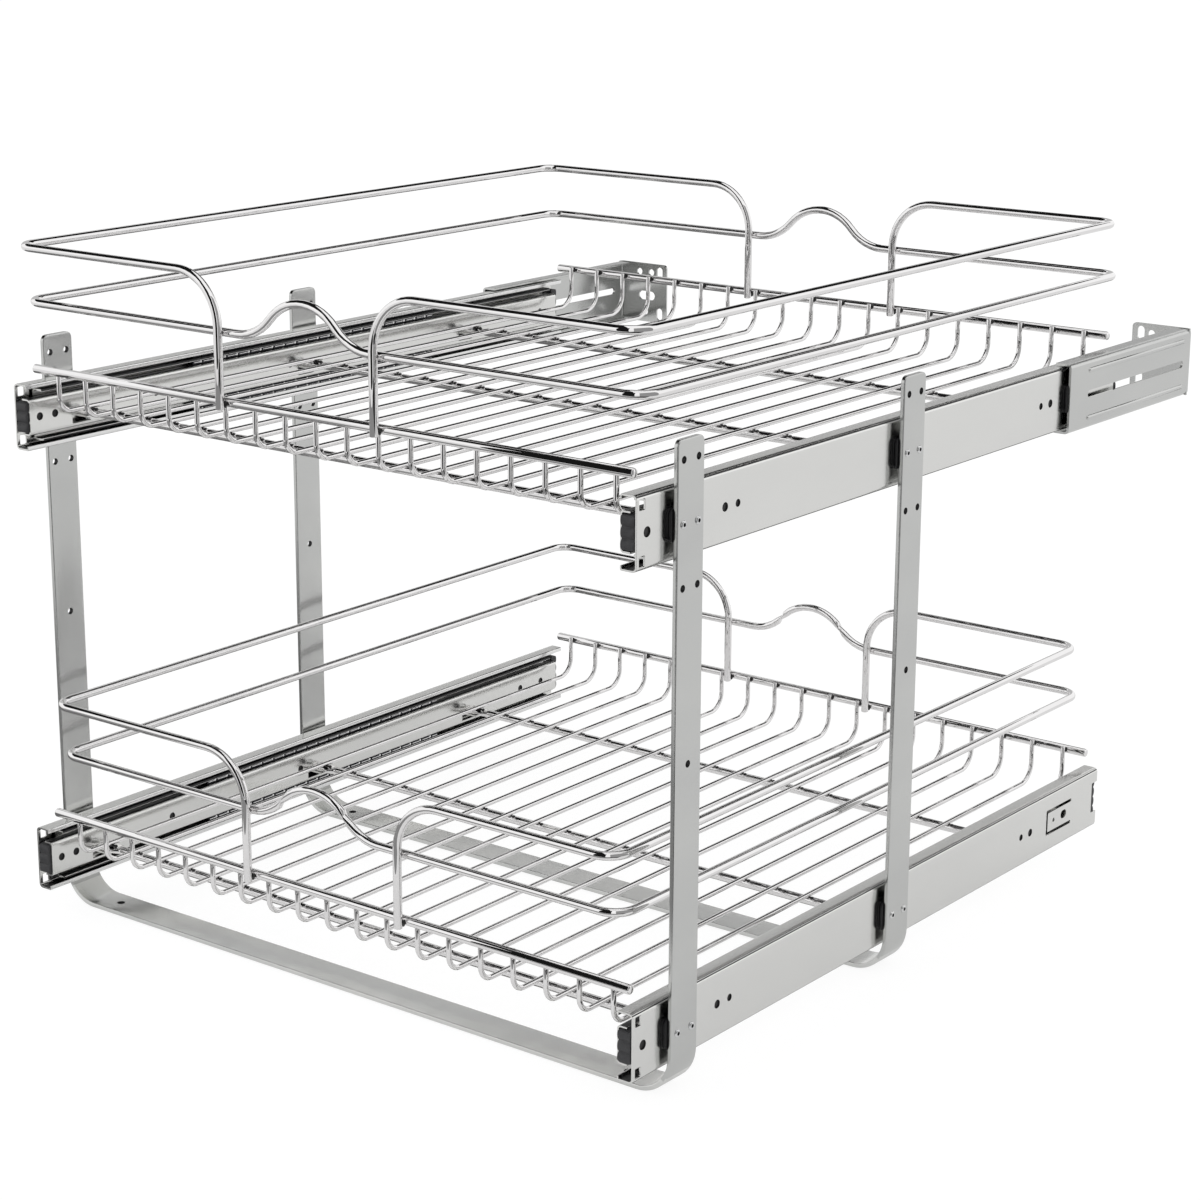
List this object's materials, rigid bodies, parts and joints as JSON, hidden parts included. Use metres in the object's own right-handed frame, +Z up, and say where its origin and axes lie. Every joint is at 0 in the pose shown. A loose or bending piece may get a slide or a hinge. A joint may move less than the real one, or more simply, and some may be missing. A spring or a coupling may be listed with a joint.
{
  "type": "two-tier pull-out wire basket",
  "caption": "Two wire baskets with rail galleries, one above the other, each pulled out on full-extension ball slides carried by two U-shaped flat-bar frames.",
  "frame": {"origin": "on the cabinet floor, under the middle of the front flat-bar frame", "axes": "+X to the right as seen from the front, +Y to the cabinet's back, +Z up; the baskets pull out along -Y"},
  "size_m": [0.524, 0.663, 0.4627],
  "materials": {
    "chromed_wire": "bright chrome plating on round steel wire",
    "plated_bar": "satin zinc plating",
    "zinc_steel": "bright zinc plating on rolled steel sheet",
    "black_plastic": "moulded, fine grain",
    "grey_rubber": "matt",
    "blackened_steel": "blackened steel strip"
  },
  "bodies": {
    "frame": {"front_frame": "plated_bar", "rear_frame": "plated_bar", "frame_spacers": "black_plastic", "frame_rivets": "zinc_steel", "bracket_spacers": "black_plastic", "left_rear_bracket": "plated_bar", "right_rear_bracket": "plated_bar", "lower_left_outer_member": "zinc_steel", "lower_right_outer_member": "zinc_steel", "upper_left_outer_member": "zinc_steel", "upper_right_outer_member": "zinc_steel", "lower_left_rear_stop": "grey_rubber", "lower_right_rear_stop": "grey_rubber", "upper_left_rear_stop": "grey_rubber", "upper_right_rear_stop": "grey_rubber"},
    "lower_basket": {"lower_floor_wires": "chromed_wire", "lower_front_rim_rod": "chromed_wire", "lower_rear_rim_rod": "chromed_wire", "lower_cross_rods": "chromed_wire", "lower_basket_screws": "zinc_steel", "lower_left_gallery_rail": "chromed_wire", "lower_right_gallery_rail": "chromed_wire", "lower_middle_rail": "chromed_wire", "lower_left_inner_member": "zinc_steel", "lower_right_inner_member": "zinc_steel", "lower_left_bumper": "grey_rubber", "lower_right_bumper": "grey_rubber"},
    "lower_left_middle_member_body": {"lower_left_middle_member": "zinc_steel"},
    "lower_left_outer_ball_cage_body": {"lower_left_outer_ball_cage": "blackened_steel"},
    "lower_left_inner_ball_cage_body": {"lower_left_inner_ball_cage": "blackened_steel"},
    "lower_right_middle_member_body": {"lower_right_middle_member": "zinc_steel"},
    "lower_right_outer_ball_cage_body": {"lower_right_outer_ball_cage": "blackened_steel"},
    "lower_right_inner_ball_cage_body": {"lower_right_inner_ball_cage": "blackened_steel"},
    "upper_basket": {"upper_floor_wires": "chromed_wire", "upper_front_rim_rod": "chromed_wire", "upper_rear_rim_rod": "chromed_wire", "upper_cross_rods": "chromed_wire", "upper_basket_screws": "zinc_steel", "upper_left_gallery_rail": "chromed_wire", "upper_right_gallery_rail": "chromed_wire", "upper_middle_rail": "chromed_wire", "upper_left_inner_member": "zinc_steel", "upper_right_inner_member": "zinc_steel", "upper_left_bumper": "grey_rubber", "upper_right_bumper": "grey_rubber"},
    "upper_left_middle_member_body": {"upper_left_middle_member": "zinc_steel"},
    "upper_left_outer_ball_cage_body": {"upper_left_outer_ball_cage": "blackened_steel"},
    "upper_left_inner_ball_cage_body": {"upper_left_inner_ball_cage": "blackened_steel"},
    "upper_right_middle_member_body": {"upper_right_middle_member": "zinc_steel"},
    "upper_right_outer_ball_cage_body": {"upper_right_outer_ball_cage": "blackened_steel"},
    "upper_right_inner_ball_cage_body": {"upper_right_inner_ball_cage": "blackened_steel"}
  },
  "joints": [
    {"name": "lower_basket_slide", "type": "slide", "parent": "frame", "child": "lower_basket", "axis": [0, -1, 0], "range_m": [0, 0.54]},
    {"name": "lower_left_middle_member_slide", "type": "slide", "parent": "frame", "child": "lower_left_middle_member_body", "axis": [0, -1, 0], "range_m": [0, 0.27]},
    {"name": "lower_left_outer_ball_cage_slide", "type": "slide", "parent": "frame", "child": "lower_left_outer_ball_cage_body", "axis": [0, -1, 0], "range_m": [0, 0.135]},
    {"name": "lower_left_inner_ball_cage_slide", "type": "slide", "parent": "frame", "child": "lower_left_inner_ball_cage_body", "axis": [0, -1, 0], "range_m": [0, 0.405]},
    {"name": "lower_right_middle_member_slide", "type": "slide", "parent": "frame", "child": "lower_right_middle_member_body", "axis": [0, -1, 0], "range_m": [0, 0.27]},
    {"name": "lower_right_outer_ball_cage_slide", "type": "slide", "parent": "frame", "child": "lower_right_outer_ball_cage_body", "axis": [0, -1, 0], "range_m": [0, 0.135]},
    {"name": "lower_right_inner_ball_cage_slide", "type": "slide", "parent": "frame", "child": "lower_right_inner_ball_cage_body", "axis": [0, -1, 0], "range_m": [0, 0.405]},
    {"name": "upper_basket_slide", "type": "slide", "parent": "frame", "child": "upper_basket", "axis": [0, -1, 0], "range_m": [0, 0.54]},
    {"name": "upper_left_middle_member_slide", "type": "slide", "parent": "frame", "child": "upper_left_middle_member_body", "axis": [0, -1, 0], "range_m": [0, 0.27]},
    {"name": "upper_left_outer_ball_cage_slide", "type": "slide", "parent": "frame", "child": "upper_left_outer_ball_cage_body", "axis": [0, -1, 0], "range_m": [0, 0.135]},
    {"name": "upper_left_inner_ball_cage_slide", "type": "slide", "parent": "frame", "child": "upper_left_inner_ball_cage_body", "axis": [0, -1, 0], "range_m": [0, 0.405]},
    {"name": "upper_right_middle_member_slide", "type": "slide", "parent": "frame", "child": "upper_right_middle_member_body", "axis": [0, -1, 0], "range_m": [0, 0.27]},
    {"name": "upper_right_outer_ball_cage_slide", "type": "slide", "parent": "frame", "child": "upper_right_outer_ball_cage_body", "axis": [0, -1, 0], "range_m": [0, 0.135]},
    {"name": "upper_right_inner_ball_cage_slide", "type": "slide", "parent": "frame", "child": "upper_right_inner_ball_cage_body", "axis": [0, -1, 0], "range_m": [0, 0.405]}
  ],
  "couplings": [
    {"joint": "lower_left_middle_member_slide", "follows": "lower_basket_slide", "ratio": 0.5},
    {"joint": "lower_left_outer_ball_cage_slide", "follows": "lower_basket_slide", "ratio": 0.25},
    {"joint": "lower_left_inner_ball_cage_slide", "follows": "lower_basket_slide", "ratio": 0.75},
    {"joint": "lower_right_middle_member_slide", "follows": "lower_basket_slide", "ratio": 0.5},
    {"joint": "lower_right_outer_ball_cage_slide", "follows": "lower_basket_slide", "ratio": 0.25},
    {"joint": "lower_right_inner_ball_cage_slide", "follows": "lower_basket_slide", "ratio": 0.75},
    {"joint": "upper_left_middle_member_slide", "follows": "upper_basket_slide", "ratio": 0.5},
    {"joint": "upper_left_outer_ball_cage_slide", "follows": "upper_basket_slide", "ratio": 0.25},
    {"joint": "upper_left_inner_ball_cage_slide", "follows": "upper_basket_slide", "ratio": 0.75},
    {"joint": "upper_right_middle_member_slide", "follows": "upper_basket_slide", "ratio": 0.5},
    {"joint": "upper_right_outer_ball_cage_slide", "follows": "upper_basket_slide", "ratio": 0.25},
    {"joint": "upper_right_inner_ball_cage_slide", "follows": "upper_basket_slide", "ratio": 0.75}
  ]
}
